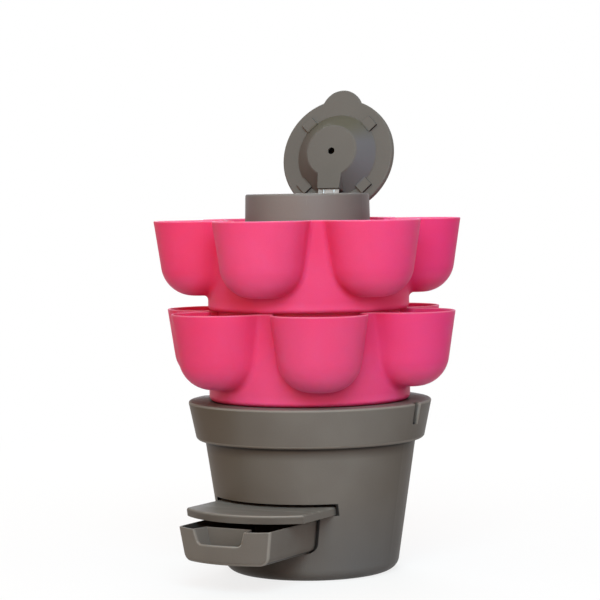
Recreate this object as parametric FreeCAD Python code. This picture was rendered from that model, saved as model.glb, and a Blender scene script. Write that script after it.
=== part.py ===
import FreeCAD, Part
import math
import os
from FreeCAD import Vector

# Vertical planter tower, in millimetres.
# Origin: centre of the pot's flat bottom. +Z is up and the drawer pulls out towards -Y.
# Azimuths are measured from -Y towards +X. Modelled as photographed: lid open, drawer and plate out.

# Small fits and clearances
seat_gap = 0.3
running_gap = 0.03

# Cutting bodies run past what they cut by this much, and edges are picked within these distances
overrun = 1.0
edge_near = 0.0001
seam_near = 0.01
seam_samples = (0.1, 0.4, 0.7)

# Base pot
pot_bottom_radius = 171.0
pot_taper = 8.4
pot_height = 340.0
pot_wall = 6.0
pot_bottom_round = 26.0
band_height = 77.0
band_bottom_radius = 226.5
band_top_radius = 242.5
band_edge_round = 8.0
rim_edge_round = 4.0
rim_lip_drop = 18.0
rim_lip_wall = 5.0
band_notch_width_top = 28.0
band_notch_width_bottom = 20.0
band_notch_length = 42.0
band_notch_depth_top = 10.0
band_notch_depth_bottom = 7.0
band_notch_lip = 3.0
band_notch_azimuths = (90.0, 270.0)
drain_hole_radius = 6.0
drain_circle_radius = 128.0
drain_hole_count = 6

# Tiers, both from one mould
tier_height = 179.0
tier_radius = 200.0
tier_wall = 5.0
tier_bottom_round = 10.0
tier_floor_hole_radius = 165.0
pocket_count = 6
pocket_circle_radius = 212.0
pocket_rim_radius = 94.0
pocket_depth = 148.0
pocket_taper = 8.5
pocket_bottom_round = 64.0
pocket_fillet = 10.0
small_round = 2.0
tier_seat_radius = 182.0
seat_lug_width = 22.0
seat_lug_height = 16.0
seat_lug_nose = 6.0
spigot_depth = 10.0
spigot_wall = 5.0
spigot_clearance = 0.5
lower_tier_azimuth = 35.0
upper_tier_azimuth = 5.0

# Castings drawer
drawer_bottom_z = 57.5
drawer_top_z = 123.0
drawer_half_width_top = 100.0
drawer_half_width_bottom = 90.0
drawer_bottom_round = 18.0
drawer_corner_round = 9.0
drawer_wall = 4.0
drawer_rear_y = 104.0
drawer_pull = 172.0
finger_notch_half_top = 55.0
finger_notch_half_bottom = 46.0
finger_notch_depth = 28.0
finger_notch_round = 10.0
finger_notch_lip = 3.0
hand_bay_depth = 44.0
hand_bay_drop = 14.0
hand_bay_narrowing = 9.0
hand_bay_wall = 4.5
drawer_lip = 14.0
drawer_rim_round = 1.5

# Slide plate
plate_bottom_z = 131.5
plate_thickness = 16.0
plate_half_width = 129.5
plate_rear_y = 108.0
plate_pull = 117.0
plate_corner_round = 8.0
plate_edge_round = 4.5

# Tunnel that guides drawer and plate
tunnel_side_gap = 4.2
tunnel_roof_gap = 6.0
tunnel_slide_gap = 0.4
tunnel_rear_gap = 2.0
tunnel_corner_round = 4.0
housing_wall = 5.0
socket_height = 14.0
socket_wall = 5.0

# Compost tube
tube_radius = 100.0
tube_wall = 5.0
tube_top_z = 660.0
tube_hole_radius = 6.0
tube_hole_columns = 12
tube_hole_pitch = 46.0
tube_hole_margin = 32.0
tube_fit = 0.6

# Top collar
collar_top_z = 749.0
collar_top_radius = 123.0
collar_bottom_radius = 125.0
collar_wall = 6.0
collar_edge_round = 5.0
collar_sleeve_length = 35.0
collar_sleeve_wall = 5.0
collar_seat_reach = 1.0

# Lid
lid_radius = 120.2
lid_thickness = 14.0
lid_skin = 4.0
lid_dome = 10.0
lid_dome_radius = 112.0
lid_edge_round = 4.0
lid_tab_radius = 44.0
lid_tab_reach = 20.0
lid_tab_round = 6.0
plug_base_radius = 86.0
plug_face_radius = 52.5
plug_height = 34.0
strap_end_reach = 79.4
strap_width_end = 47.5
strap_width_root = 57.0
strap_edge_round = 2.5
centre_hole_radius = 7.2
pad_circle_radius = 92.0
pad_radial_length = 22.0
pad_width = 27.0
pad_height = 6.5
pad_count = 4

# Lid hinge
lid_azimuth = 187.3
lid_open_angle = 105.5
lid_closed_gap = 1.8
hinge_radius = 110.6
hinge_drop = 22.8
leaf_width = 45.5
leaf_thickness = 2.0
leaf_length = 36.0
leaf_tongue = 25.0
knuckle_count = 5
knuckle_radius = 4.0
knuckle_gap = 0.3
pin_radius = 2.0
pin_head_radius = 3.0
pin_head_length = 1.2
rib_radius = 2.6
rib_rise = 1.0
hinge_pad_margin = 3.0
tongue_margin = 3.0
bolt_radius = 2.5
bolt_head_radius = 4.75
bolt_head_height = 2.6
bolt_hole_gap = 0.25
bolt_spacing = 22.0
bolt_drop = 24.0
bolt_tail = 1.5
washer_radius = 6.0
washer_thickness = 1.2
nut_across_flats = 8.0
nut_height = 4.0
nut_sides = 6

# Places that follow from the sizes above
lower_tier_z = pot_height
upper_tier_z = lower_tier_z + tier_height
tunnel_floor_z = drawer_bottom_z - tunnel_slide_gap
ledge_z = plate_bottom_z - tunnel_slide_gap
tunnel_roof_z = plate_bottom_z + plate_thickness + tunnel_roof_gap
housing_top_z = tunnel_roof_z + housing_wall
tunnel_rear_y = max(plate_rear_y, drawer_rear_y) + tunnel_rear_gap
hinge_z = collar_top_z - hinge_drop
hinge_pad_y = hinge_radius + knuckle_radius + seat_gap
leaf_offset = knuckle_radius - leaf_thickness
knuckle_reach = knuckle_radius + seat_gap
knuckle_pitch = leaf_width / knuckle_count
origin = Vector(0, 0, 0)
x_axis = Vector(1, 0, 0)
y_axis = Vector(0, 1, 0)
z_axis = Vector(0, 0, 1)


def rounded_wire(corners, place):
    # A closed outline from (a, b, radius) corners; a corner with a radius becomes a tangent arc.
    points = [Vector(a, b, 0) for a, b, radius in corners]
    stops = []
    for index, (a, b, radius) in enumerate(corners):
        corner = points[index]
        if radius == 0:
            stops.append((corner, None, corner))
            continue
        back = (points[index - 1] - corner).normalize()
        ahead = (points[(index + 1) % len(points)] - corner).normalize()
        half = back.getAngle(ahead) / 2
        middle = (back + ahead).normalize()
        reach = radius / math.tan(half)
        centre = corner + middle * (radius / math.sin(half))
        stops.append((corner + back * reach, centre - middle * radius, corner + ahead * reach))
    edges = []
    for index, (start, through, end) in enumerate(stops):
        if through is not None:
            edges.append(Part.Arc(place(start), place(through), place(end)).toShape())
        following = stops[(index + 1) % len(stops)][0]
        if end.distanceToPoint(following) > edge_near:
            edges.append(Part.LineSegment(place(end), place(following)).toShape())
    return Part.Wire(edges)


def upright(point):
    return Vector(point.x, 0, point.y)


def lying(point):
    return Vector(point.x, point.y, 0)


def lathe(corners):
    # Turns an outline of (radius, height, corner radius) about the Z axis.
    return Part.Face(rounded_wire(corners, upright)).revolve(origin, z_axis, 360)


def prism_along_y(corners, start_y, end_y):
    # Pushes an outline of (x, z, corner radius) from start_y to end_y.
    face = Part.Face(rounded_wire(corners, upright))
    face.translate(Vector(0, start_y, 0))
    return face.extrude(Vector(0, end_y - start_y, 0))


def prism_along_z(corners, start_z, end_z):
    # Pushes an outline of (x, y, corner radius) from start_z to end_z.
    face = Part.Face(rounded_wire(corners, lying))
    face.translate(Vector(0, 0, start_z))
    return face.extrude(Vector(0, 0, end_z - start_z))


def cylinder(radius, start_z, end_z):
    return Part.makeCylinder(radius, end_z - start_z, Vector(0, 0, start_z))


def box(x_range, y_range, z_range):
    low = Vector(x_range[0], y_range[0], z_range[0])
    return Part.makeBox(x_range[1] - x_range[0], y_range[1] - y_range[0], z_range[1] - z_range[0], low)


def turned(shape, angle):
    copy = shape.copy()
    copy.rotate(origin, z_axis, angle)
    return copy


def moved(shape, x, y, z):
    copy = shape.copy()
    copy.translate(Vector(x, y, z))
    return copy


def joined(shapes):
    whole = shapes[0]
    for shape in shapes[1:]:
        whole = whole.fuse(shape)
    return whole.removeSplitter()


def rounded(shape, radius, wanted):
    # Rounds the edges for which wanted(edge) is true.
    edges = [edge for edge in shape.Edges if wanted(edge)]
    return shape.makeFillet(radius, edges)


def middle_of(edge):
    return edge.valueAt((edge.FirstParameter + edge.LastParameter) / 2)


def flat_at(edge, height):
    extent = edge.BoundBox
    return abs(extent.ZMin - height) < edge_near and abs(extent.ZMax - height) < edge_near


def drawer_side(height):
    # Half the drawer's width at a height; its sides slope, and the tunnel's sides with them.
    slope = (drawer_half_width_top - drawer_half_width_bottom) / (drawer_top_z - drawer_bottom_z)
    return drawer_half_width_bottom + (height - drawer_bottom_z) * slope


def pot_radius(height):
    return pot_bottom_radius + height * math.tan(math.radians(pot_taper))


def pot_inner_radius(height):
    return pot_radius(height) - pot_wall / math.cos(math.radians(pot_taper))


def band_radius(height):
    share = (height - pot_height + band_height) / band_height
    return band_bottom_radius + (band_top_radius - band_bottom_radius) * share


def collar_radius(height):
    share = (height - tube_top_z) / (collar_top_z - tube_top_z)
    return collar_bottom_radius + (collar_top_radius - collar_bottom_radius) * share


def pot_room(gap):
    # The room inside the pot's tapered wall, up to the band, less a gap at the wall.
    top = pot_height - band_height
    return lathe([
        (0, pot_wall, 0),
        (pot_inner_radius(pot_wall) - gap, pot_wall, pot_bottom_round - pot_wall),
        (pot_inner_radius(top) - gap, top, 0),
        (0, top, 0),
    ])


def pot_cone():
    # Everything inside the pot's outer taper: drawer and plate close flush with it.
    return Part.makeCone(pot_radius(0), pot_radius(pot_height), pot_height)


def tunnel_outline(inset):
    # The T-shaped section that drawer and plate run in, larger all round by the inset.
    low_z = tunnel_floor_z - inset
    step_z = ledge_z - inset
    top_z = tunnel_roof_z + inset
    low_half = drawer_side(low_z) + tunnel_side_gap + inset
    step_half = drawer_side(step_z) + tunnel_side_gap + inset
    top_half = plate_half_width + tunnel_side_gap + inset
    low_round = drawer_bottom_round + inset
    top_round = tunnel_corner_round + inset
    return [
        (-low_half, low_z, low_round),
        (low_half, low_z, low_round),
        (step_half, step_z, 0),
        (top_half, step_z, 0),
        (top_half, top_z, top_round),
        (-top_half, top_z, top_round),
        (-top_half, step_z, 0),
        (-step_half, step_z, 0),
    ]


def band_notch(azimuth):
    # A groove from the band's top edge downwards, growing narrower and shallower as it goes.
    top = pot_height + overrun
    low = pot_height - band_notch_length
    half_top = band_notch_width_top / 2 - band_notch_lip
    half_low = band_notch_width_bottom / 2 - band_notch_lip
    groove = prism_along_y([
        (-half_top, top, 0),
        (-half_low, low, half_low - small_round / 2),
        (half_low, low, half_low - small_round / 2),
        (half_top, top, 0),
    ], -band_top_radius - overrun, -band_bottom_radius + pot_wall)
    floor = Part.makeCone(
        band_radius(low) - band_notch_depth_bottom,
        band_radius(pot_height) - band_notch_depth_top,
        band_notch_length,
        Vector(0, 0, low),
    )
    return turned(groove.cut(floor).cut(cylinder(tier_radius, low, top)), azimuth)


def band_notch_back(azimuth):
    # The wall behind the groove, grown out of the band's inner side.
    half = band_notch_width_top / 2 + pot_wall
    low = pot_height - band_notch_length - pot_wall
    shoulder = pot_height - band_height
    foot = Vector(0, 0, shoulder)
    slab = box((-half, half), (-band_top_radius, -tier_radius), (low, pot_height - small_round))
    depth = band_notch_depth_top + pot_wall
    shell = Part.makeCone(band_bottom_radius, band_top_radius, band_height, foot)
    core = Part.makeCone(band_bottom_radius - depth, band_top_radius - depth, band_height, foot)
    return turned(slab.common(shell.cut(core)), azimuth)


def make_base_pot():
    shoulder = pot_height - band_height
    lip_outer = tier_seat_radius + rim_lip_wall
    pot = lathe([
        (0, 0, 0),
        (pot_bottom_radius, 0, pot_bottom_round),
        (pot_radius(shoulder), shoulder, small_round),
        (band_bottom_radius, shoulder, band_edge_round),
        (band_top_radius, pot_height, rim_edge_round),
        (tier_seat_radius, pot_height, small_round),
        (tier_seat_radius, pot_height - rim_lip_drop, small_round),
        (lip_outer, pot_height - rim_lip_drop, small_round),
        (lip_outer, pot_height - pot_wall, small_round),
        (band_radius(pot_height - pot_wall) - pot_wall, pot_height - pot_wall, small_round),
        (band_radius(shoulder + pot_wall) - pot_wall, shoulder + pot_wall, small_round),
        (pot_inner_radius(shoulder + pot_wall), shoulder + pot_wall, small_round),
        (pot_inner_radius(pot_wall), pot_wall, pot_bottom_round - pot_wall),
        (0, pot_wall, 0),
    ])
    pot = joined([pot] + [band_notch_back(azimuth) for azimuth in band_notch_azimuths])
    for azimuth in band_notch_azimuths:
        pot = pot.cut(band_notch(azimuth))

    def is_notch_lip(edge):
        point = middle_of(edge)
        on_band = abs(math.hypot(point.x, point.y) - band_radius(point.z)) < seam_near
        beside_notch = abs(point.y) < band_notch_width_top / 2
        return on_band and beside_notch and not flat_at(edge, point.z)

    pot = rounded(pot, band_notch_lip, is_notch_lip)
    pot = pot.cut(prism_along_y(tunnel_outline(0), -band_top_radius, 0))
    drain = moved(cylinder(drain_hole_radius, -overrun, pot_wall + overrun), 0, -drain_circle_radius, 0)
    drains = [turned(drain, index * 360.0 / drain_hole_count) for index in range(drain_hole_count)]
    return pot.cut(Part.makeCompound(drains))


def make_drawer_housing():
    # The tunnel stands on the pot's floor on two skirts and carries the tube in a socket ring.
    front_y = -pot_radius(housing_top_z)
    rear_y = tunnel_rear_y + housing_wall
    tunnel = prism_along_y(tunnel_outline(housing_wall), front_y, rear_y)
    skirt_half = drawer_half_width_bottom + tunnel_side_gap
    skirt_top = tunnel_floor_z + drawer_bottom_round
    skirts = [
        box((side * skirt_half - housing_wall / 2, side * skirt_half + housing_wall / 2),
            (front_y, rear_y), (pot_wall, skirt_top))
        for side in (-1, 1)
    ]
    socket_radius = tube_radius + tube_fit
    socket_top_z = housing_top_z + socket_height
    socket = cylinder(socket_radius + socket_wall, housing_top_z - housing_wall, socket_top_z)
    bore = cylinder(tube_radius - tube_wall, tunnel_roof_z - overrun, housing_top_z + overrun)
    housing = joined([tunnel, socket] + skirts)
    housing = housing.cut(prism_along_y(tunnel_outline(0), front_y, tunnel_rear_y))
    housing = housing.cut(bore).cut(cylinder(socket_radius, housing_top_z, socket_top_z + overrun))
    return housing.common(pot_room(seat_gap))


def drawer_room():
    # The bin and the room beside the hand bay, all behind a thin curved front.
    inner_foot = pot_radius(0) - drawer_wall
    inner_head = pot_radius(pot_height) - drawer_wall
    inside = Part.makeCone(inner_foot, inner_head, pot_height)
    outline = drawer_outline(drawer_wall, drawer_top_z + overrun)
    room = prism_along_y(outline, -pot_radius(drawer_top_z), drawer_rear_y - drawer_wall)
    return room.common(inside)


def drawer_outline(inset, top_z):
    low_z = drawer_bottom_z + inset
    low_half = drawer_half_width_bottom - inset
    top_half = drawer_side(top_z) - inset
    return [
        (-top_half, top_z, 0),
        (-low_half, low_z, drawer_bottom_round - inset),
        (low_half, low_z, drawer_bottom_round - inset),
        (top_half, top_z, 0),
    ]


def hand_bay_section(narrowing, floor_z, y):
    top_z = drawer_top_z + overrun
    wire = rounded_wire([
        (-finger_notch_half_top + narrowing, top_z, 0),
        (-finger_notch_half_bottom + narrowing, floor_z, finger_notch_round),
        (finger_notch_half_bottom - narrowing, floor_z, finger_notch_round),
        (finger_notch_half_top - narrowing, top_z, 0),
    ], upright)
    wire.translate(Vector(0, y, 0))
    return wire


def make_castings_drawer():
    # Built shut, with its front flush with the pot, then pulled out.
    front_y = -pot_radius(drawer_top_z)
    notch_floor_z = drawer_top_z - finger_notch_depth
    drawer = prism_along_y(drawer_outline(0, drawer_top_z), front_y, drawer_rear_y).common(pot_cone())
    corner_x = drawer_half_width_bottom - drawer_bottom_round

    def is_front_corner(edge):
        point = middle_of(edge)
        return point.y < 0 and abs(point.x) > corner_x and edge.BoundBox.ZLength > drawer_bottom_round

    drawer = rounded(drawer, drawer_corner_round, is_front_corner)
    lip_y = front_y + drawer_lip
    bay_floor_z = notch_floor_z - hand_bay_drop
    bay_rear_y = front_y + hand_bay_depth
    notch = Part.makeLoft([
        hand_bay_section(0, notch_floor_z, front_y - overrun),
        hand_bay_section(0, notch_floor_z, lip_y),
    ], True)
    bay = Part.makeLoft([
        hand_bay_section(0, notch_floor_z, lip_y),
        hand_bay_section(hand_bay_narrowing, bay_floor_z, bay_rear_y),
    ], True)
    skin_rear = hand_bay_narrowing - hand_bay_wall
    bay_skin = Part.makeLoft([
        hand_bay_section(-hand_bay_wall, notch_floor_z - hand_bay_wall, front_y),
        hand_bay_section(-hand_bay_wall, notch_floor_z - hand_bay_wall, lip_y),
        hand_bay_section(skin_rear, bay_floor_z - hand_bay_wall, bay_rear_y + hand_bay_wall),
    ], True, True)
    drawer = drawer.cut(drawer_room().cut(bay_skin)).cut(notch.fuse(bay))

    def is_notch_lip(edge):
        point = middle_of(edge)
        on_front = abs(math.hypot(point.x, point.y) - pot_radius(point.z)) < seam_near
        in_notch = abs(point.x) < finger_notch_half_top + seam_near and point.z > notch_floor_z - seam_near
        return on_front and in_notch and not flat_at(edge, drawer_top_z)

    def is_rim(edge):
        return flat_at(edge, drawer_top_z)

    drawer = rounded(drawer, finger_notch_lip, is_notch_lip)
    drawer = rounded(drawer, drawer_rim_round, is_rim)
    return moved(drawer, 0, -drawer_pull, 0)


def make_slide_plate():
    # Built shut, with its front edge flush with the pot, then pulled out.
    front_y = -pot_radius(plate_bottom_z + plate_thickness)
    top_z = plate_bottom_z + plate_thickness
    plate = prism_along_z([
        (-plate_half_width, front_y, 0),
        (plate_half_width, front_y, 0),
        (plate_half_width, plate_rear_y, plate_corner_round),
        (-plate_half_width, plate_rear_y, plate_corner_round),
    ], plate_bottom_z, top_z).common(pot_cone())

    def is_front_corner(edge):
        point = middle_of(edge)
        return point.y < 0 and edge.BoundBox.ZLength > plate_thickness / 2

    def is_top_edge(edge):
        return flat_at(edge, top_z)

    plate = rounded(plate, plate_corner_round, is_front_corner)
    plate = rounded(plate, plate_edge_round, is_top_edge)
    return moved(plate, 0, -plate_pull, 0)


def make_compost_tube():
    tube = cylinder(tube_radius, housing_top_z, tube_top_z)
    tube = tube.cut(cylinder(tube_radius - tube_wall, housing_top_z - overrun, tube_top_z + overrun))
    row_count = int((tube_top_z - housing_top_z - 2 * tube_hole_margin) // tube_hole_pitch) + 1
    step = 360.0 / tube_hole_columns
    drill = Part.makeCylinder(tube_hole_radius, tube_radius + overrun, origin, y_axis)
    holes = []
    for row in range(row_count):
        height = housing_top_z + tube_hole_margin + row * tube_hole_pitch
        for column in range(tube_hole_columns):
            holes.append(moved(turned(drill, (column + row % 2 / 2) * step), 0, 0, height))
    return tube.cut(Part.makeCompound(holes))


def tier_body(inset, top_z):
    # Ring and pockets as one solid; the inset gives the room inside the wall.
    slope = math.tan(math.radians(pocket_taper))
    across = inset / math.cos(math.radians(pocket_taper))
    low_z = tier_height - pocket_depth + inset
    low_radius = pocket_rim_radius - across - (tier_height - low_z) * slope
    top_radius = pocket_rim_radius - across + (top_z - tier_height) * slope
    pocket = lathe([
        (0, low_z, 0),
        (low_radius, low_z, pocket_bottom_round - inset),
        (top_radius, top_z, 0),
        (0, top_z, 0),
    ])
    ring_radius = tier_radius - inset
    body = lathe([
        (0, inset, 0),
        (ring_radius, inset, tier_bottom_round - inset),
        (ring_radius, top_z, 0),
        (0, top_z, 0),
    ])
    for index in range(pocket_count):
        cup = moved(pocket, 0, -pocket_circle_radius, 0)
        body = body.fuse(turned(cup, index * 360.0 / pocket_count))
    body = body.removeSplitter()

    def is_inner_corner(edge):
        # The seams where the pockets leave the ring lie on its side but aren't circles or uprights.
        if edge.Curve.TypeId == "Part::GeomLine" or flat_at(edge, top_z):
            return False
        length = edge.LastParameter - edge.FirstParameter
        stops = [edge.valueAt(edge.FirstParameter + length * share) for share in seam_samples]
        on_side = all(abs(math.hypot(stop.x, stop.y) - ring_radius) < seam_near for stop in stops)
        return on_side and edge.BoundBox.ZLength > tier_wall

    return rounded(body, pocket_fillet + inset, is_inner_corner)


def seat_lug():
    # A lug inside the wall between two pockets, level with the rim: the next tier's floor rests on it.
    root_radius = tier_radius - tier_wall / 2
    face = Part.Face(rounded_wire([
        (tier_seat_radius, tier_height, small_round / 2),
        (tier_seat_radius, tier_height - seat_lug_nose, small_round / 2),
        (root_radius, tier_height - seat_lug_height, 0),
        (root_radius, tier_height, 0),
    ], upright))
    face.translate(Vector(0, -seat_lug_width / 2, 0))
    return turned(face.extrude(Vector(0, seat_lug_width, 0)), -90.0)


def make_tier():
    # One tier with its seat at height zero and its first pocket towards -Y.
    tier = tier_body(0, tier_height).cut(tier_body(tier_wall, tier_height + overrun))

    def is_rim(edge):
        return flat_at(edge, tier_height)

    tier = rounded(tier, small_round, is_rim)
    tier = tier.cut(cylinder(tier_floor_hole_radius, -overrun, tier_wall + overrun))
    spigot_radius = tier_seat_radius - spigot_clearance
    spigot = cylinder(spigot_radius, -spigot_depth, tier_wall / 2)
    spigot = spigot.cut(cylinder(spigot_radius - spigot_wall, -spigot_depth - overrun, tier_wall))
    lugs = [turned(seat_lug(), (index + 0.5) * 360.0 / pocket_count) for index in range(pocket_count)]
    return joined([tier, spigot] + lugs)


def lid_side(shape):
    # From the hinge's own frame, hinge towards +Y, to its azimuth on the tower.
    return turned(shape, lid_azimuth - 180.0)


def opened(shape):
    # Swings a shape of the shut lid back about the hinge pin.
    copy = shape.copy()
    copy.rotate(Vector(0, hinge_radius, hinge_z), x_axis, -lid_open_angle)
    return copy


def lid_leaf_room():
    # What the lid's leaf sweeps against when the lid lies fully back: it stops on the collar.
    room = box(
        (-leaf_width / 2 - seat_gap, leaf_width / 2 + seat_gap),
        (hinge_radius - 2 * leaf_length, hinge_radius - knuckle_reach),
        (hinge_z - collar_wall - knuckle_radius, hinge_z - leaf_offset + seat_gap),
    )
    return opened(room)


def make_top_collar():
    # A cup with a hole: its floor rests on the tube's end and its sleeve grips the tube.
    seat_inner = tube_radius - tube_wall - collar_seat_reach
    sleeve_inner = tube_radius + tube_fit
    sleeve_outer = sleeve_inner + collar_sleeve_wall
    sleeve_low_z = tube_top_z - collar_sleeve_length
    floor_top_z = tube_top_z + collar_wall
    inner_top = collar_top_radius - collar_wall
    edge = small_round / 2
    collar = lathe([
        (seat_inner, tube_top_z, 0),
        (sleeve_inner, tube_top_z, 0),
        (sleeve_inner, sleeve_low_z, edge),
        (sleeve_outer, sleeve_low_z, edge),
        (sleeve_outer, tube_top_z, edge),
        (collar_bottom_radius, tube_top_z, small_round),
        (collar_top_radius, collar_top_z, collar_edge_round),
        (inner_top, collar_top_z, edge / 2),
        (collar_radius(floor_top_z) - collar_wall, floor_top_z, small_round),
        (seat_inner, floor_top_z, edge),
    ])
    half = leaf_width / 2 + hinge_pad_margin
    pad_z = (hinge_z - leaf_length - hinge_pad_margin, collar_top_z - collar_edge_round)
    pad = box((-half, half), (hinge_pad_y, collar_top_radius), pad_z)
    pad = pad.common(cylinder(inner_top + collar_wall / 2, pad_z[0], collar_top_z))
    collar = joined([collar, lid_side(pad)])
    holes = bolt_cylinders(bolt_radius + bolt_hole_gap, 0, collar_bottom_radius + overrun)
    return collar.cut(lid_side(Part.makeCompound(holes))).cut(lid_side(lid_leaf_room()))


def make_lid():
    # Built shut about its own centre, with its rim's underside at height zero, then swung open.
    tab_y = -(lid_radius + lid_tab_reach - lid_tab_radius)
    tab = moved(cylinder(lid_tab_radius, 0, lid_thickness), 0, tab_y, 0)
    disc = joined([cylinder(lid_radius, 0, lid_thickness), tab])

    def is_tab_corner(edge):
        point = middle_of(edge)
        return edge.Curve.TypeId == "Part::GeomLine" and abs(point.x) > overrun and point.y < 0

    def is_disc_edge(edge):
        return flat_at(edge, 0) or flat_at(edge, lid_thickness)

    disc = rounded(disc, lid_tab_round, is_tab_corner)
    disc = rounded(disc, lid_edge_round, is_disc_edge)
    dome_top = lid_thickness + lid_dome
    ball = (lid_dome_radius ** 2 + lid_dome ** 2) / (2 * lid_dome)
    dome = Part.makeSphere(ball, Vector(0, 0, dome_top - ball))
    dome = dome.common(cylinder(lid_dome_radius + overrun, lid_thickness - overrun, dome_top + overrun))
    plug = lathe([
        (0, overrun, 0),
        (plug_base_radius, overrun, 0),
        (plug_base_radius, 0, 0),
        (plug_face_radius, -plug_height, strap_edge_round),
        (0, -plug_height, 0),
    ])
    half_end = strap_width_end / 2
    half_root = strap_width_root / 2
    strap = prism_along_z([
        (-half_root, 0, 0),
        (half_root, 0, 0),
        (half_end, strap_end_reach, strap_edge_round),
        (-half_end, strap_end_reach, strap_edge_round),
    ], -plug_height, overrun)

    def is_strap_face_edge(edge):
        return flat_at(edge, -plug_height) and middle_of(edge).y > overrun

    strap = rounded(strap, strap_edge_round - small_round / 2, is_strap_face_edge)
    pad = box(
        (-pad_width / 2, pad_width / 2),
        (pad_circle_radius - pad_radial_length / 2, pad_circle_radius + pad_radial_length / 2),
        (-pad_height, overrun),
    )

    def is_pad_low_edge(edge):
        return edge.BoundBox.ZMin < -pad_height + edge_near

    pad = rounded(pad, small_round / 2, is_pad_low_edge)
    pads = [turned(pad, (index + 0.5) * 360.0 / pad_count) for index in range(pad_count)]
    lid = joined([disc, dome, plug, strap] + pads)
    slope = (plug_base_radius - plug_face_radius) / plug_height
    across = lid_skin * math.hypot(slope, 1)
    cavity = lathe([
        (0, -plug_height + lid_skin, 0),
        (plug_face_radius + lid_skin * slope - across, -plug_height + lid_skin, small_round),
        (plug_base_radius + lid_skin * slope - across, lid_skin, small_round),
        (lid_radius - lid_skin - small_round, lid_skin, small_round),
        (lid_radius - lid_skin - small_round, lid_thickness - lid_skin, small_round),
        (0, dome_top - lid_skin, 0),
    ])
    hole = cylinder(centre_hole_radius, -plug_height - overrun, 0)
    lid = lid.cut(cavity).cut(hole)
    lid = moved(lid, 0, 0, collar_top_z + lid_closed_gap)
    return lid_side(opened(lid.cut(leaf_tongue_room())))


def leaf_tongue_room():
    # The slot that the steel tongue is moulded into, at the end of the strap.
    return box(
        (-leaf_width / 2 + tongue_margin, leaf_width / 2 - tongue_margin),
        (strap_end_reach - leaf_tongue, strap_end_reach + overrun),
        (hinge_z - knuckle_radius, hinge_z - leaf_offset),
    )


def bar_along_x(radius, low_x, high_x):
    return Part.makeCylinder(radius, high_x - low_x, Vector(low_x, hinge_radius, hinge_z), x_axis)


def knuckles(first):
    # Every second knuckle from the first, with a neck towards the leaf that owns it.
    bars = []
    for index in range(first, knuckle_count, 2):
        low_x = -leaf_width / 2 + index * knuckle_pitch + knuckle_gap / 2
        bars.append((low_x, low_x + knuckle_pitch - knuckle_gap))
    return bars


def pin_bore():
    return bar_along_x(pin_radius + running_gap, -leaf_width, leaf_width)


def bolt_cylinders(radius, low_y, high_y):
    # Two bars along Y at the bolts' places, between two distances from the tower's axis.
    length = high_y - low_y
    bolt_z = hinge_z - bolt_drop
    return [
        Part.makeCylinder(radius, length, Vector(side * bolt_spacing / 2, low_y, bolt_z), y_axis)
        for side in (-1, 1)
    ]


def make_hinge_collar_leaf():
    inner_y = hinge_pad_y - leaf_thickness
    half = leaf_width / 2
    pieces = [box((-half, half), (inner_y, hinge_pad_y), (hinge_z - leaf_length, hinge_z - knuckle_reach))]
    for low_x, high_x in knuckles(0):
        pieces.append(bar_along_x(knuckle_radius, low_x, high_x))
        pieces.append(box((low_x, high_x), (inner_y, hinge_pad_y), (hinge_z - knuckle_reach, hinge_z)))
    holes = bolt_cylinders(bolt_radius + bolt_hole_gap, 0, hinge_pad_y + overrun)
    return lid_side(joined(pieces).cut(pin_bore()).cut(Part.makeCompound(holes)))


def make_hinge_lid_leaf():
    # Drawn shut: the leaf lies level under the pin's height and its tongue enters the strap.
    half = leaf_width / 2
    tongue_half = half - tongue_margin
    leaf_z = (hinge_z - knuckle_radius, hinge_z - leaf_offset)
    tongue_y = (strap_end_reach - leaf_tongue, strap_end_reach)
    pieces = [
        box((-half, half), (strap_end_reach + seat_gap, hinge_radius - knuckle_reach), leaf_z),
        box((-tongue_half, tongue_half), (tongue_y[0], strap_end_reach + overrun), leaf_z),
    ]
    for low_x, high_x in knuckles(1):
        pieces.append(bar_along_x(knuckle_radius, low_x, high_x))
        pieces.append(box((low_x, high_x), (hinge_radius - knuckle_reach, hinge_radius), leaf_z))
    rib_start = strap_end_reach + overrun
    rib_length = hinge_radius - knuckle_reach - overrun - rib_start
    rib_z = hinge_z - knuckle_radius + rib_radius - rib_rise
    rib_room = box((-half, half), (0, hinge_radius), (hinge_z - leaf_length, hinge_z - leaf_offset))
    for side in (-1, 1):
        rib = Part.makeCylinder(rib_radius, rib_length, Vector(side * half / 2, rib_start, rib_z), y_axis)
        pieces.append(rib.common(rib_room))
    return lid_side(opened(joined(pieces).cut(pin_bore())))


def make_hinge_pin():
    half = leaf_width / 2 + seat_gap
    pin = bar_along_x(pin_radius, -half, half)
    heads = [
        bar_along_x(pin_head_radius, half, half + pin_head_length),
        bar_along_x(pin_head_radius, -half - pin_head_length, -half),
    ]
    return lid_side(joined([pin] + heads))


def nut_seat_y():
    # The collar's outer face at the foot of the washers, where it reaches out furthest.
    return collar_radius(hinge_z - bolt_drop - washer_radius) + seat_gap / 2


def make_hinge_bolts():
    leaf_face_y = hinge_pad_y - leaf_thickness
    tail_y = nut_seat_y() + washer_thickness + nut_height + bolt_tail
    head_y = leaf_face_y - bolt_head_height
    shanks = bolt_cylinders(bolt_radius, leaf_face_y, tail_y)
    heads = bolt_cylinders(bolt_head_radius, head_y, leaf_face_y)

    def is_head_edge(edge):
        return edge.BoundBox.YMax < head_y + edge_near

    bolts = [
        rounded(joined([shank, head]), small_round / 2, is_head_edge)
        for shank, head in zip(shanks, heads)
    ]
    return lid_side(Part.makeCompound(bolts))


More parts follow.
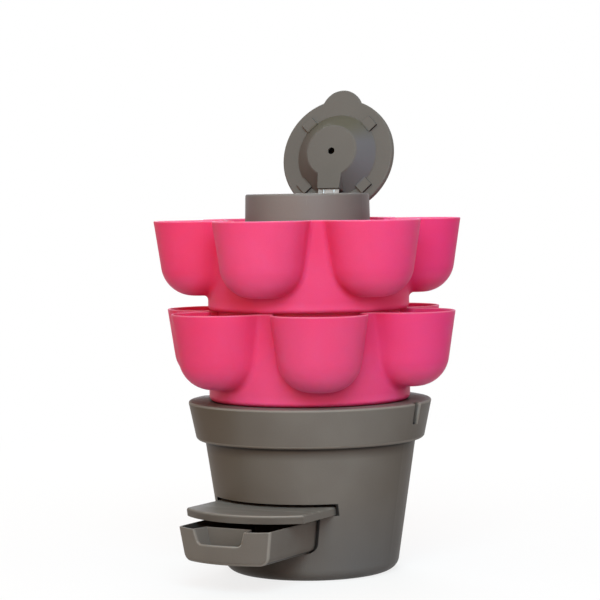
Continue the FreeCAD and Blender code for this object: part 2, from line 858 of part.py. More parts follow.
def make_hinge_washers():
    low_y = nut_seat_y()
    top_y = low_y + washer_thickness
    bodies = bolt_cylinders(washer_radius, low_y, top_y)
    holes = bolt_cylinders(bolt_radius + bolt_hole_gap, low_y - overrun, top_y + overrun)
    return lid_side(Part.makeCompound([body.cut(hole) for body, hole in zip(bodies, holes)]))


def make_hinge_nuts():
    low_y = nut_seat_y() + washer_thickness
    top_y = low_y + nut_height
    corner = nut_across_flats / 2 / math.cos(math.pi / nut_sides)
    nuts = []
    for hole in bolt_cylinders(bolt_radius + running_gap, low_y - overrun, top_y + overrun):
        centre = hole.CenterOfMass
        angles = [2 * math.pi * index / nut_sides for index in range(nut_sides)]
        corners = [(centre.x + corner * math.cos(a), centre.z + corner * math.sin(a), 0) for a in angles]
        nuts.append(prism_along_y(corners, low_y, top_y).cut(hole))
    return lid_side(Part.makeCompound(nuts))


def save(name, shape):
    shape.exportStep("parts/" + name + ".step")
    print(name, "solids:", len(shape.Solids), "valid:", shape.isValid(), "volume:", round(shape.Volume))


os.makedirs("parts", exist_ok=True)
tier = make_tier()
save("base_pot", make_base_pot())
save("drawer_housing", make_drawer_housing())
save("castings_drawer", make_castings_drawer())
save("slide_plate", make_slide_plate())
save("compost_tube", make_compost_tube())
save("lower_tier", moved(turned(tier, lower_tier_azimuth), 0, 0, lower_tier_z))
save("upper_tier", moved(turned(tier, upper_tier_azimuth), 0, 0, upper_tier_z))
save("top_collar", make_top_collar())
save("lid", make_lid())
save("hinge_collar_leaf", make_hinge_collar_leaf())
save("hinge_lid_leaf", make_hinge_lid_leaf())
save("hinge_pin", make_hinge_pin())
save("hinge_bolts", make_hinge_bolts())
save("hinge_washers", make_hinge_washers())
save("hinge_nuts", make_hinge_nuts())
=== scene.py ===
import math

import bpy
import numpy as np
from mathutils import Matrix, Vector

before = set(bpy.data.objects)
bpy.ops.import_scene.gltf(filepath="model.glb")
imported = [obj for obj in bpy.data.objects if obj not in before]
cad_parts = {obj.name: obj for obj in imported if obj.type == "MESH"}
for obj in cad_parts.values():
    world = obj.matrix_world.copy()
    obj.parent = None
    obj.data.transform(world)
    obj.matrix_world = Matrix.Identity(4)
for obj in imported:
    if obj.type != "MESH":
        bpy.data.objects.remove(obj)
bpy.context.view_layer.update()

# Vertical planter tower: moulded plastic pot, two ringed tiers, collar and open lid.
# Metres, +Z up, the drawer pulls out towards -Y. Every piece lies where model.glb puts it.

print("frame loaded:", len(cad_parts), "nodes")


# Camera, fitted to the photograph's 600 by 600 frame

cameraSettings = {
    "azimuth": 29.71,           # degrees from -Y towards +X
    "distance": 4.448,          # from the tower's axis
    "height": 0.748,
    "focalPixels": 2236.4,
    "framePixels": 600.0,
    "axisPixel": 308.61,        # column of the tower's axis in the middle row
    "aimHeight": 0.5372,
    "roll": -0.77,              # degrees, the photograph leans to the left
    "sensor": 36.0,
}


def makeCamera(s):
    # Stands on a circle round the axis, looks at the aim point, then rolls about its own line of sight.
    turn = math.radians(s["azimuth"])
    right = Vector((math.cos(turn), math.sin(turn), 0))
    place = Vector((math.sin(turn), -math.cos(turn), 0)) * s["distance"] + Vector((0, 0, s["height"]))
    metresPerPixel = s["distance"] / s["focalPixels"]
    aside = (s["framePixels"] / 2 - s["axisPixel"]) * metresPerPixel
    aim = right * aside + Vector((0, 0, s["aimHeight"]))
    look = (aim - place).to_track_quat("-Z", "Y").to_matrix().to_4x4()
    data = bpy.data.cameras.new("camera")
    data.sensor_width = s["sensor"]
    data.lens = s["sensor"] * s["focalPixels"] / s["framePixels"]
    data.clip_end = 100
    camera = bpy.data.objects.new("camera", data)
    camera.matrix_world = Matrix.Translation(place) @ look @ Matrix.Rotation(math.radians(s["roll"]), 4, "Z")
    bpy.context.scene.collection.objects.link(camera)
    bpy.context.scene.camera = camera


makeCamera(cameraSettings)


# Shader maths: a socket that can be added, multiplied and compared like a number

class Socket:
    def __init__(self, shader, socket):
        self.shader = shader
        self.socket = socket

    def maths(self, operation, first, second=0.0):
        return self.shader.node("ShaderNodeMath", {"operation": operation}, {0: first, 1: second})

    def __add__(self, other):
        return self.maths("ADD", self, other)

    def __radd__(self, other):
        return self.maths("ADD", other, self)

    def __sub__(self, other):
        return self.maths("SUBTRACT", self, other)

    def __rsub__(self, other):
        return self.maths("SUBTRACT", other, self)

    def __mul__(self, other):
        return self.maths("MULTIPLY", self, other)

    def __rmul__(self, other):
        return self.maths("MULTIPLY", other, self)

    def __truediv__(self, other):
        return self.maths("DIVIDE", self, other)

    def __pow__(self, other):
        return self.maths("POWER", self, other)

    def size(self):
        return self.maths("ABSOLUTE", self)

    def clamped(self):
        return self.shader.node("ShaderNodeClamp", {}, {"Value": self})

    def ramp(self, low, high, lowValue=0.0, highValue=1.0):
        # Straight rise from lowValue at low to highValue at high, level outside them.
        return self.shader.node("ShaderNodeMapRange", {"clamp": True}, {
            "Value": self, "From Min": low, "From Max": high, "To Min": lowValue, "To Max": highValue})


class Shader:
    def __init__(self, name):
        self.material = bpy.data.materials.new(name)
        self.material.use_nodes = True
        self.tree = self.material.node_tree
        self.tree.nodes.clear()
        self.output = self.tree.nodes.new("ShaderNodeOutputMaterial")

    def node(self, kind, settings, inputs, out=0):
        made = self.tree.nodes.new(kind)
        for key, value in settings.items():
            if key == "stops":
                self.setStops(made.color_ramp, value)
            else:
                setattr(made, key, value)
        for key, value in inputs.items():
            if isinstance(value, Socket):
                self.tree.links.new(value.socket, made.inputs[key])
            else:
                made.inputs[key].default_value = value
        return Socket(self, made.outputs[out])

    def setStops(self, ramp, stops):
        while len(ramp.elements) < len(stops):
            ramp.elements.new(0.5)
        for element, (place, colour) in zip(ramp.elements, stops):
            element.position = place
            element.color = colour

    def place(self):
        return self.node("ShaderNodeTexCoord", {}, {}, "Object")

    def noise(self, scale, detail=2.0, roughness=0.5, at=None):
        where = at or self.place()
        return self.node("ShaderNodeTexNoise", {}, {
            "Vector": where, "Scale": scale, "Detail": detail, "Roughness": roughness})

    def stretched(self, scales):
        return self.node("ShaderNodeMapping", {}, {"Vector": self.place(), "Scale": scales})

    def turned(self, where, turn, shift):
        # Turned about the origin by Euler angles, then shifted.
        return self.node("ShaderNodeMapping", {}, {"Vector": where, "Rotation": turn, "Location": shift})

    def axes(self, where):
        parts = self.tree.nodes.new("ShaderNodeSeparateXYZ")
        self.tree.links.new(where.socket, parts.inputs[0])
        return [Socket(self, output) for output in parts.outputs]

    def mix(self, factor, first, second):
        made = self.tree.nodes.new("ShaderNodeMix")
        made.data_type = "RGBA"
        for key, value in ((0, factor), (6, first), (7, second)):
            if isinstance(value, Socket):
                self.tree.links.new(value.socket, made.inputs[key])
            else:
                made.inputs[key].default_value = value
        return Socket(self, made.outputs[2])

    def bump(self, height, distance, strength=1.0, under=None):
        inputs = {"Height": height, "Distance": distance, "Strength": strength}
        if under:
            inputs["Normal"] = under
        return self.node("ShaderNodeBump", {}, inputs)

    def finish(self, values):
        made = self.node("ShaderNodeBsdfPrincipled", {}, values)
        self.tree.links.new(made.socket, self.output.inputs["Surface"])
        return self.material


def rgba(red, green, blue):
    # A colour given as screen values 0 to 255, turned to linear light.
    def linear(value):
        value = value / 255
        return value / 12.92 if value <= 0.04045 else ((value + 0.055) / 1.055) ** 2.4
    return (linear(red), linear(green), linear(blue), 1.0)


# Moulded polyethylene: satin skin with a fine orange peel, slow colour drift and a few pale scuffs

greyPlastic = {
    "name": "greyPlastic",
    "main": rgba(116, 111, 105),
    "drift": rgba(106, 100, 94),
    "scuff": rgba(150, 145, 138),
    "driftScale": 5.0,
    "peelScale": 420.0,
    "peelDepth": 0.00018,
    "waveScale": 16.0,
    "waveDepth": 0.0009,
    "rough": (0.46, 0.58),
    "scuffAmount": 0.35,
    "specular": 0.15,
    "soft": 0.0,
    "softReach": (0.001, 0.001, 0.001),
}

pinkPlastic = {
    "name": "pinkPlastic",
    "main": rgba(237, 80, 132),
    "drift": rgba(235, 70, 122),
    "scuff": rgba(255, 130, 165),
    "driftScale": 4.0,
    "peelScale": 380.0,
    "peelDepth": 0.00014,
    "waveScale": 13.0,
    "waveDepth": 0.0011,
    "rough": (0.46, 0.54),
    "scuffAmount": 0.25,
    "specular": 0.12,
    "soft": 0.6,                            # light that enters the wall and leaves it near by
    "softReach": (0.015, 0.0015, 0.003),    # metres, longest for red
}

tierMarks = {
    "feet": (0.340, 0.519),
    "creviceAmounts": (0.6, 0.3),
    "tops": (0.519, 0.698),
    # painted shade: a dark line in the crevice at each tier's foot
    "crevice": rgba(150, 16, 44),
    # painted highlight: a pale line along each tier's rim
    "lip": rgba(255, 150, 182),
    # painted shade: a deeper pink in the recesses between the pockets
    "recess": rgba(214, 34, 86),
    "recessRadii": (0.268, 0.222),          # radii where the recess between two pockets starts and is deepest
    "recessHeights": (0.06, 0.13),          # above each tier's foot: none, full
    "recessAmount": 0.28,
    # painted light tint from side to side:
    "tintAzimuth": 30.0,                    # redder to the left of here, bluer to the right
    "tintReach": (0.08, 0.30),
    "leftTint": rgba(240, 60, 104),
    "rightTint": rgba(232, 52, 134),
    "tintAmount": 0.5,
    # painted light, paler under the pockets and on the ring below them:
    "bellies": (0.078, 0.040, 0.215, 0.24, 1.0),    # heights above the foot, radii from the axis, strength
    "belly": rgba(255, 96, 150),
    "skirt": (0.022, 0.010, 0.19, 0.205, 0.7),      # the same for the ring below the pockets
}


def tierEdges(shader, colour, s):
    # Painted shade in a dark line where each tier stands and a painted highlight along its rim, both by
    # height alone, painted shade as a deeper pink in the recesses and painted light as a paler one under the
    # pockets, by distance from the axis and height, and a painted light tint from one side to the other.
    x, y, z = shader.axes(shader.place())
    low, high = s["recessHeights"]
    away = (x * x + y * y) ** 0.5
    # Painted shade: a deeper pink in the recesses between the pockets.
    recess = away.ramp(*s["recessRadii"]) * s["recessAmount"]
    for foot, top in zip(s["feet"], s["tops"]):
        share = recess * z.ramp(foot + low, foot + high) * z.ramp(top + 0.001, top)
        colour = shader.mix(share, colour, s["recess"])
    # Painted light: redder on the left side, bluer on the right.
    turn = math.radians(s["tintAzimuth"])
    across = x * math.cos(turn) + y * math.sin(turn)
    near, far = s["tintReach"]
    colour = shader.mix(across.ramp(-near, -far) * s["tintAmount"], colour, s["leftTint"])
    colour = shader.mix(across.ramp(near, far) * s["tintAmount"], colour, s["rightTint"])
    # Painted light: paler pink under the pockets and on the ring below them, where they lie in shade.
    for high, low, inner, outer, amount in (s["bellies"], s["skirt"]):
        for foot in s["feet"]:
            paler = z.ramp(foot + high, foot + low) * z.ramp(foot, foot + 0.005)
            colour = shader.mix(paler * away.ramp(inner, outer) * amount, colour, s["belly"])
    # Painted shade: a dark line in the crevice just above each tier's foot.
    for foot, amount in zip(s["feet"], s["creviceAmounts"]):
        line = z.ramp(foot + 0.007, foot + 0.001) * z.ramp(foot - 0.004, foot - 0.002)
        colour = shader.mix(line * amount, colour, s["crevice"])
    # Painted highlight: a pale line along each tier's rounded rim.
    for top in s["tops"]:
        line = z.ramp(top - 0.0035, top - 0.0015) * z.ramp(top + 0.001, top + 0.0005)
        colour = shader.mix(line * 0.4, colour, s["lip"])
    return colour


collarPlastic = dict(
    greyPlastic,
    name="collarPlastic",
    main=rgba(125, 119, 114),
    drift=rgba(119, 113, 108),
    rough=(0.42, 0.50),
    specular=0.25,
)

collarShade = {
    # Painted shade on the collar, darker the further round from its front:
    "face": 20.0,                           # azimuth of its brightest side, degrees from -Y
    "reach": (0.95, 0.35),                  # cosines of the angle from there: none, full
    "dull": rgba(84, 77, 76),
    "amount": 0.78,
}


def duller(shader, colour, amount, s):
    # Painted shade: duller the further round from its face, a share by cos of that angle.
    x, y, z = shader.axes(shader.place())
    turn = math.radians(s["face"])
    across = (x * x + y * y + 0.000001) ** 0.5
    facing = (x * math.sin(turn) - y * math.cos(turn)) / across
    return shader.mix(facing.ramp(*s["reach"]) * amount, colour, s["dull"])


def collarSideShade(shader, colour, s):
    # Painted side shade, the same all the way up.
    return duller(shader, colour, s["amount"], s)


# Darker than the other grey parts: painted shade on the lid.
lidPlastic = dict(
    greyPlastic,
    name="lidPlastic",
    main=rgba(107, 102, 97),
    drift=rgba(101, 96, 91),
)

lidShades = {
    "hinge": (0.1106, 0.7262),              # out from the axis, height
    "azimuth": 7.3,
    "open": 105.5,                          # degrees past shut, as it lies at rest
    "rimHeight": 0.7508,
    "plug": (0.0525, 0.086, 0.034),         # radius of its face and of its base, height
    # painted shade on the plug's flank at the top, left and right, and on the pads' sides
    "top": rgba(94, 90, 78),
    "left": rgba(94, 86, 80),
    "right": rgba(101, 99, 102),
    "padSide": rgba(58, 55, 52),
    "padHeight": 0.0065,
}


def lidMarks(shader, colour, s):
    # In the shut lid's own frame, x to the right and y to the hinge: the plug's flank lies where the
    # distance from the axis is between its face and its base, below its face. Each side of it gets its own
    # painted shade, and so do the pads' sides.
    out, height = s["hinge"]
    straight = shader.turned(shader.place(), (0, 0, -math.radians(s["azimuth"])), (0, -out, -height))
    shut = shader.turned(straight, (math.radians(s["open"]), 0, 0), (0, out, height - s["rimHeight"]))
    x, y, z = shader.axes(shut)
    away = (x * x + y * y) ** 0.5
    faceRadius, baseRadius, plugHeight = s["plug"]
    flank = away.ramp(faceRadius, faceRadius + 0.004) * away.ramp(baseRadius, baseRadius - 0.003)
    flank = flank * z.ramp(-plugHeight + 0.0005, -plugHeight + 0.003) * z.ramp(0.002, -0.001)
    # Painted shade on the plug's flank: darker on the left and at the top, a cooler grey on the right.
    colour = shader.mix(flank * (x / away).ramp(-0.1, -0.8), colour, s["left"])
    colour = shader.mix(flank * (x / away).ramp(0.0, 0.95), colour, s["right"])
    colour = shader.mix(flank * (y / away).ramp(-0.35, -0.9), colour, s["top"])
    # Painted shade on the pads' sides.
    padSide = away.ramp(baseRadius - 0.001, baseRadius) * away.ramp(0.112, 0.110)
    padSide = padSide * z.ramp(-s["padHeight"] + 0.0002, -s["padHeight"] + 0.001) * z.ramp(-0.0002, -0.001)
    return shader.mix(padSide, colour, s["padSide"])


potSkin = {
    "footRadius": 0.171,
    "slope": math.tan(math.radians(8.4)),
}

potMarks = {
    **potSkin,
    # painted shade inside the slot, from and to these depths behind the skin
    "wipedDepth": 0.0004,
    "dirtyDepth": 0.0016,
    "slotHeights": (0.0571, 0.1535),
    "bar": (0.1337, 0.1311),                # half width of the plate's part, height of its ledge
    "stem": (0.0942, 0.153, 0.018),         # half width of the drawer's part at its foot, spread, corner
    # width of the painted shade line round drawer and plate
    "line": 0.0042,
    # colour of the painted shade in the slot, under the drawer, in the crease and at the seat
    "dirt": rgba(20, 18, 16),
    # painted shadow under the drawer, which stays when it is pushed in:
    "underDrawer": (-0.02, -0.08, 0.08, 0.045),     # to the right of the axis and heights: none, full
    "underAzimuth": 30.0,
    "underAmount": 0.5,
    # painted shade, duller the further round from the front and behind:
    "face": 40.0,                           # azimuth of its brightest side, degrees from -Y
    "reach": (0.97, 0.62),
    "dull": rgba(96, 89, 81),
    "dullness": (0.95, 0.72),               # of the body and of the band
    "bandHeights": (0.263, 0.340),
    "bandRadii": (0.2265, 0.2425),
    # painted shadow under the band's overhang:
    "crease": 0.007,                        # height of the dark line under the band
    "creaseShade": (0.024, 0.4),            # height and strength of the soft painted shade below it
    "leftStain": (-0.13, -0.21, 0.85),      # painted warm brown shade towards the left: none, full, strength
    "brown": rgba(84, 70, 54),
    "rearDull": rgba(74, 68, 63),
    "foot": rgba(96, 99, 103),              # cooler towards the ground
    "footTint": (0.17, 0.03, 0.5),          # heights: none, full, and strength
    "rear": (-0.03, 0.10, 0.8),             # more of the dull colour behind: none, full, strength
    # painted shade in the crevice where the lower tier sits:
    "seat": (0.186, 0.203),                 # radii of the dark ring under the lower tier
    # painted highlight on the band's edges and on the notch's lip
    "edge": rgba(150, 144, 136),
    "notchHalf": 0.0145,
    "notchFoot": 0.297,
    "notchShade": rgba(50, 47, 48),
}


def potShadeAndLight(shader, colour, s):
    # Painted shade behind the pot's skin in the slot, in a thin line round drawer and plate, and a painted
    # shadow under the drawer; painted warm shade on the left, painted dull shade behind and to the sides.
    # The slot's edge is a line that leans out by the spread, rounded at its foot: r - sqrt(r^2 - k^2).
    x, y, z = shader.axes(shader.place())
    away = (x * x + y * y) ** 0.5
    side = x.size()
    bandLow, bandHigh = s["bandHeights"]
    bodyDull, bandDull = s["dullness"]
    # Painted shade: duller the further round from the front.
    colour = duller(shader, colour, z.ramp(bandLow - 0.003, bandLow + 0.001, bodyDull, bandDull), s)
    skin = s["footRadius"] + z * s["slope"]
    behind = (skin - away).ramp(s["wipedDepth"], s["dirtyDepth"])
    low, high = s["slotHeights"]
    barEdge, ledge = s["bar"]
    foot, spread, corner = s["stem"]
    short = corner - (z - low).ramp(0.0, corner, 0.0, corner)
    rounded = corner - (corner * corner - short * short) ** 0.5
    stemEdge = foot + (z - low) * spread - rounded
    line = s["line"]
    # Painted shade in a thin line round drawer and plate, and inside the slot behind the skin.
    beside = (side - stemEdge).ramp(line, line * 0.6) * z.ramp(ledge, ledge - 0.001)
    beside = beside + (side - barEdge).ramp(line, line * 0.6) * z.ramp(ledge - 0.001, ledge)
    near = y.ramp(0.0, -0.02) * z.ramp(low - 0.0014, low) * z.ramp(high + 0.001, high)
    inSlot = behind * side.ramp(barEdge + 0.004, barEdge + 0.003)
    slotShade = (near * (beside + inSlot)).clamped()
    # Painted shadow under the drawer; it stays when the drawer is pushed in.
    right, left, top, full = s["underDrawer"]
    turn = math.radians(s["underAzimuth"])
    across = x * math.cos(turn) + y * math.sin(turn)
    under = across.ramp(right, left) * z.ramp(top, full) * y.ramp(0.0, -0.06)
    # Painted warm shade towards the left.
    warmFrom, warmFull, warmAmount = s["leftStain"]
    colour = shader.mix(across.ramp(warmFrom, warmFull) * warmAmount, colour, s["brown"])
    tintFrom, tintFull, tintAmount = s["footTint"]
    colour = shader.mix(z.ramp(tintFrom, tintFull) * across.ramp(-0.05, 0.08) * tintAmount, colour, s["foot"])
    # Painted shade: duller behind.
    rearFrom, rearFull, rearAmount = s["rear"]
    colour = shader.mix(y.ramp(rearFrom, rearFull) * rearAmount, colour, s["rearDull"])
    # Painted shade of the slot and painted shadow under the drawer.
    colour = shader.mix((slotShade + under * s["underAmount"]).clamped(), colour, s["dirt"])

    # The band: painted highlights along its edges, a painted shadow line below it, painted shade in a ring
    # where the tier sits, and painted shade with a highlighted lip in the notch at each side.
    lowRadius, highRadius = s["bandRadii"]
    bandSkin = z.ramp(bandLow, bandHigh, lowRadius, highRadius)
    # Painted shadow under the band's overhang: a dark line and soft shade below it.
    crease = z.ramp(bandLow + 0.0005, bandLow - 0.0005) * z.ramp(bandLow - s["crease"], bandLow - 0.001)
    colour = shader.mix(crease * 0.9, colour, s["dirt"])
    shadeHeight, shadeAmount = s["creaseShade"]
    shade = z.ramp(bandLow, bandLow - 0.001) * z.ramp(bandLow - shadeHeight, bandLow - 0.004) * shadeAmount
    colour = shader.mix(shade, colour, s["dirt"])
    # Painted shade in the crevice where the lower tier sits on the rim.
    seatIn, seatOut = s["seat"]
    seat = away.ramp(seatIn - 0.001, seatIn) * away.ramp(seatOut, seatOut - 0.005)
    seat = seat * z.ramp(bandHigh - 0.003, bandHigh - 0.001)
    colour = shader.mix(seat * 0.8, colour, s["dirt"])
    # Painted highlights along the band's rounded top and bottom edges.
    edgeLight = z.ramp(bandLow + 0.001, bandLow + 0.003) * z.ramp(bandLow + 0.0065, bandLow + 0.0045)
    edgeLight = edgeLight + z.ramp(bandHigh - 0.0055, bandHigh - 0.0035) * z.ramp(bandHigh, bandHigh - 0.001)
    edgeLight = edgeLight * (bandSkin - away).ramp(0.008, 0.006) * away.ramp(lowRadius - 0.012, lowRadius - 0.009)
    colour = shader.mix(edgeLight * 0.5, colour, s["edge"])
    # Painted shade in the notch, darkest at its foot.
    notch = y.size().ramp(s["notchHalf"], s["notchHalf"] - 0.001)
    notch = notch * z.ramp(s["notchFoot"], s["notchFoot"] + 0.001)
    depth = bandSkin - away
    notch = notch * depth.ramp(0.013, 0.012)
    foot = z.ramp(s["notchFoot"] + 0.03, s["notchFoot"] + 0.01, 0.35, 1.0) * y.ramp(0.008, 0.005)
    colour = shader.mix(notch * depth.ramp(0.0012, 0.003) * foot, colour, s["notchShade"])
    # Painted highlight on the notch's lip.
    lip = notch * y.ramp(0.0075, 0.0095) * depth.ramp(0.006, 0.003)
    return shader.mix(lip * 0.7, colour, s["edge"])


drawerMarks = {
    "pull": 0.172,                          # how far it is pulled out at rest
    **potSkin,
    # painted highlight on the front's rounded edges
    "edge": rgba(158, 153, 146),
    "edgeAmount": 0.8,
    "edgeDepths": (0.0003, 0.0012, 0.005, 0.008),
    "lightSide": (-0.09, 0.06),             # the edges are palest on the right
    "room": (0.0863, 0.1529, 0.0575),       # half width inside at the foot, spread, height of the foot
    "wall": 0.0035,
    "bay": (0.0575, -0.1435),               # half width of the less shaded hand bay, its rear wall when shut
    # painted shade inside the drawer
    "dark": rgba(40, 37, 35),
    "darkAmount": 0.85,
    "bayAmount": 0.22,                      # of the dark in the hand bay
}

plateMarks = {
    "pull": 0.117,                          # how far it is pulled out at rest
    **potSkin,
    # painted highlight along the top of the front's rounded edge
    "edge": rgba(158, 153, 146),
    "edgeAmount": 0.6,
    "edgeDepths": (0.0003, 0.0012, 0.003, 0.0045),
    "lightSide": (-0.06, 0.07),
    "topHeight": 0.1462,
    "front": rgba(78, 73, 68),
    "frontAmount": 0.45,
    "streakScale": 55.0,
    "streakStretch": (0.12, 1.0, 1.0),      # drawn out across the plate
    "streaks": (0.56, 0.70, 0.35),          # noise values: none, full, and strength
}


def frontEdges(x, depth, s):
    # Painted highlight where the front's rounded edges catch the light, palest on the right: between two
    # depths behind its curved skin.
    low, high, highEnd, lowEnd = s["edgeDepths"]
    caughtLight = depth.ramp(low, high) * depth.ramp(lowEnd, highEnd)
    return caughtLight * x.ramp(*s["lightSide"], 0.15, 1.0) * s["edgeAmount"]


def drawerShade(shader, colour, s):
    # Painted shade inside, where the wall's own thickness lies between the place and the outer side, less in
    # the hand bay; painted highlights on the rounded edges.
    x, y, z = shader.axes(shader.place())
    forward = y + s["pull"]
    depth = s["footRadius"] + z * s["slope"] - (x * x + forward * forward) ** 0.5
    half, spread, foot = s["room"]
    room = half + (z - foot) * spread - x.size()
    within = room.ramp(-0.0012, -0.0004) * depth.ramp(s["wall"], s["wall"] + 0.0015)
    within = within * z.ramp(foot + s["wall"] - 0.001, foot + s["wall"] - 0.0002)
    bayHalf, bayRear = s["bay"]
    bay = x.size().ramp(bayHalf + 0.001, bayHalf) * forward.ramp(bayRear + 0.0008, bayRear)
    darkness = bay * (s["bayAmount"] - s["darkAmount"]) + s["darkAmount"]
    colour = shader.mix(within * darkness, colour, s["dark"])
    return shader.mix(frontEdges(x, depth, s), colour, s["edge"])


def plateStreaksAndHighlight(shader, colour, s):
    # Pale streaks across its top, a painted highlight along the top of its front, dull on the front below
    # that, where the depth behind the skin is none.
    x, y, z = shader.axes(shader.place())
    forward = y + s["pull"]
    depth = s["footRadius"] + z * s["slope"] - (x * x + forward * forward) ** 0.5
    upper = z.ramp(s["topHeight"] - 0.003, s["topHeight"])
    none, full, amount = s["streaks"]
    streaks = shader.noise(s["streakScale"], 2.0, 0.5, shader.stretched(s["streakStretch"]))
    colour = shader.mix(streaks.ramp(none, full) * upper * amount, colour, s["edge"])
    colour = shader.mix(depth.ramp(0.0015, 0.0005) * (1.0 - upper) * s["frontAmount"], colour, s["front"])
    return shader.mix(frontEdges(x, depth, s) * upper, colour, s["edge"])


# Nearly black: painted shade on the drawer housing inside the pot.
insidePlastic = dict(
    greyPlastic,
    name="insidePlastic",
    main=rgba(38, 35, 32),
    drift=rgba(28, 26, 24),
    scuff=rgba(60, 56, 52),
)


def mouldedPlastic(s, marks=None, marksSettings=None):
    # Colour drifts with slow noise; roughness follows it; height is fine peel over long low waves.
    shader = Shader(s["name"])
    drift = shader.noise(s["driftScale"], 3.0)
    grain = shader.noise(s["peelScale"] * 2.2, 2.0, 0.6)
    scratches = shader.noise(40.0, 4.0, 0.7, shader.stretched((1.0, 1.0, 0.12)))
    scuffs = scratches.ramp(0.66, 0.78) * shader.noise(7.0, 1.0).ramp(0.52, 0.66) * s["scuffAmount"]
    colour = shader.mix(drift.ramp(0.35, 0.65), s["main"], s["drift"])
    colour = shader.mix(grain.ramp(0.4, 0.75, 0.0, 0.10), colour, s["scuff"])
    colour = shader.mix(scuffs, colour, s["scuff"])
    if marks:
        colour = marks(shader, colour, marksSettings)
    low, high = s["rough"]
    rough = drift.ramp(0.3, 0.7, low, high) + scuffs * 0.2
    waves = shader.bump(shader.noise(s["waveScale"], 1.0), s["waveDepth"])
    peel = shader.bump(shader.noise(s["peelScale"], 2.0, 0.55), s["peelDepth"], 1.0, waves)
    return shader.finish({
        "Base Color": colour,
        "Roughness": rough,
        "Specular IOR Level": s["specular"],
        "Subsurface Weight": s["soft"],
        "Subsurface Radius": s["softReach"],
        "Subsurface Scale": 1.0,
        "Normal": peel,
    })


steelSettings = {
    "name": "hingeSteel",
    "main": rgba(164, 162, 160),
    "dull": rgba(128, 126, 123),
    "brushScale": 260.0,
    "rough": (0.34, 0.50),
}


def brushedSteel(s):
    # Fine streaks along one direction, a little tarnish in slow patches.
    shader = Shader(s["name"])
    streaks = shader.noise(s["brushScale"], 3.0, 0.6, shader.stretched((1.0, 1.0, 0.06)))
    tarnish = shader.noise(60.0, 3.0).ramp(0.45, 0.75)
    low, high = s["rough"]
    return shader.finish({
        "Base Color": shader.mix(tarnish, s["main"], s["dull"]),
        "Metallic": 1.0,
        "Roughness": streaks.ramp(0.3, 0.7, low, high) + tarnish * 0.1,
        "Normal": shader.bump(streaks, 0.00006),
    })


grey = mouldedPlastic(greyPlastic)
drawerGrey = mouldedPlastic(dict(greyPlastic, name="drawerPlastic"), drawerShade, drawerMarks)
plateGrey = mouldedPlastic(dict(greyPlastic, name="platePlastic"), plateStreaksAndHighlight, plateMarks)
potGrey = mouldedPlastic(dict(greyPlastic, name="potPlastic"), potShadeAndLight, potMarks)
collarGrey = mouldedPlastic(collarPlastic, collarSideShade, collarShade)
lidGrey = mouldedPlastic(lidPlastic, lidMarks, lidShades)
inside = mouldedPlastic(insidePlastic)
pink = mouldedPlastic(pinkPlastic, tierEdges, tierMarks)
steel = brushedSteel(steelSettings)
print("materials made")


def paint(names, material):
    for name in names:
        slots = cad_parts[name].data.materials
        slots.clear()
        slots.append(material)


paint(["compost_tube"], grey)
paint(["castings_drawer"], drawerGrey)
paint(["slide_plate"], plateGrey)
paint(["base_pot"], potGrey)
paint(["drawer_housing"], inside)
paint(["top_collar"], collarGrey)
paint(["lid"], lidGrey)
paint(["lower_tier", "upper_tier"], pink)
paint(["hinge_collar_leaf", "hinge_lid_leaf", "hinge_pin"], steel)
paint(["hinge_bolts", "hinge_washers", "hinge_nuts"], steel)


# Pale floor, white backdrop and soft light

stageSettings = {
    "floorSize": 60.0,
    "floorColour": (0.34, 0.33, 0.32, 1.0),
    "floorSeen": (0.96, 0.96, 0.96, 1.0),   # what the camera sees is lit by the lamps
    "floorWhite": (0.8, 1.0),               # and mixed with this share of plain white, near and far
    "fade": (0.7, 2.6),                     # metres from the axis
    "skyFront": (0.68, 0.55, 0.42, 1.0),    # soft light from the camera's side and from behind
    "skyBack": (0.36, 0.31, 0.26, 1.0),
    "skyTurn": 20.0,
    "lamps": [
        # azimuth from -Y, elevation, distance, size, watts, colour
        ("key", 30.0, 35.0, 4.0, 2.4, 105.0, (0.60, 0.95, 1.10)),
        ("left", 10.0, 15.0, 4.0, 2.4, 28.0, (1.0, 0.45, 0.15)),
        ("right", 50.0, 15.0, 4.0, 2.4, 22.0, (0.85, 0.75, 1.0)),
        ("rear", 210.0, 35.0, 4.0, 2.4, 85.0, (0.85, 0.90, 1.0)),
    ],
    "aim": (0.0, 0.0, 0.45),
}


def makeFloor(s):
    # A flat square. The camera, and what mirrors it, sees it mostly white, with the tower's soft shadow.
    half = s["floorSize"] / 2
    mesh = bpy.data.meshes.new("floor")
    corners = [(-half, -half, 0), (half, -half, 0), (half, half, 0), (-half, half, 0)]
    mesh.from_pydata(corners, [], [(0, 1, 2, 3)])
    floor = bpy.data.objects.new("floor", mesh)
    bpy.context.scene.collection.objects.link(floor)
    shader = Shader("floorPaint")
    seen = seenShare(shader)
    colour = shader.mix(seen, s["floorColour"], s["floorSeen"])
    plain = shader.node("ShaderNodeBsdfDiffuse", {}, {"Color": colour})
    white = shader.node("ShaderNodeEmission", {}, {"Color": (1.0, 1.0, 1.0, 1.0), "Strength": 1.0})
    x, y, z = shader.axes(shader.place())
    share = ((x * x + y * y) ** 0.5).ramp(*s["fade"], *s["floorWhite"])
    both = shader.node("ShaderNodeMixShader", {}, {0: seen * share, 1: plain, 2: white})
    shader.tree.links.new(both.socket, shader.output.inputs["Surface"])
    mesh.materials.append(shader.material)


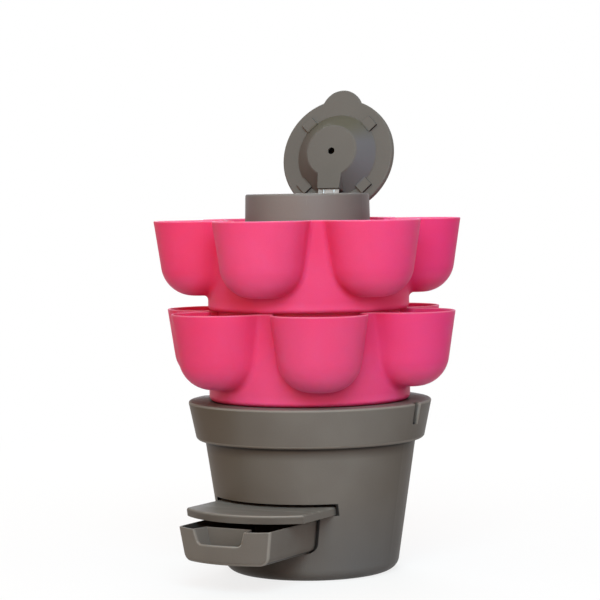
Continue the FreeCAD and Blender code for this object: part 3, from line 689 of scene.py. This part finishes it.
def seenShare(shader):
    # 1 for rays from the camera and for those in gloss or glass, else 0.
    path = shader.tree.nodes.new("ShaderNodeLightPath")
    total = None
    for name in ("Is Camera Ray", "Is Glossy Ray", "Is Transmission Ray"):
        ray = Socket(shader, path.outputs[name])
        total = ray if total is None else total + ray
    return total.clamped()


class WorldShader(Shader):
    def __init__(self, world):
        world.use_nodes = True
        self.tree = world.node_tree
        self.tree.nodes.clear()
        self.output = self.tree.nodes.new("ShaderNodeOutputWorld")


def makeWorld(s):
    # Plain white where the camera or a mirror sees it, else soft light by the direction's share of the
    # front, stronger from there than from behind.
    world = bpy.data.worlds.new("studio")
    bpy.context.scene.world = world
    shader = WorldShader(world)
    seen = seenShare(shader)
    x, y, z = shader.axes(shader.node("ShaderNodeTexCoord", {}, {}, "Generated"))
    turn = math.radians(s["skyTurn"])
    front = (x * math.sin(turn) - y * math.cos(turn)).ramp(-0.5, 0.5)
    sky = shader.mix(front, s["skyBack"], s["skyFront"])
    dim = shader.node("ShaderNodeBackground", {}, {"Color": sky, "Strength": 1.0})
    white = shader.node("ShaderNodeBackground", {}, {"Color": (1.0, 1.0, 1.0, 1.0), "Strength": 1.0})
    both = shader.node("ShaderNodeMixShader", {}, {0: seen, 1: dim, 2: white})
    shader.tree.links.new(both.socket, shader.output.inputs["Surface"])


def makeLamps(s):
    # Each lamp stands out from the aim by its distance along its azimuth and elevation, facing it.
    aim = Vector(s["aim"])
    for name, azimuth, elevation, distance, size, watts, colour in s["lamps"]:
        data = bpy.data.lights.new(name, "AREA")
        data.shape = "DISK"
        data.size = size
        data.energy = watts
        data.color = colour
        lamp = bpy.data.objects.new(name, data)
        a = math.radians(azimuth)
        e = math.radians(elevation)
        out = Vector((math.sin(a) * math.cos(e), -math.cos(a) * math.cos(e), math.sin(e)))
        lamp.location = aim + out * distance
        lamp.rotation_euler = (-out).to_track_quat("-Z", "Y").to_euler()
        bpy.context.scene.collection.objects.link(lamp)


makeFloor(stageSettings)
makeWorld(stageSettings)
makeLamps(stageSettings)
bpy.context.scene.view_settings.view_transform = "Standard"
print("stage made")
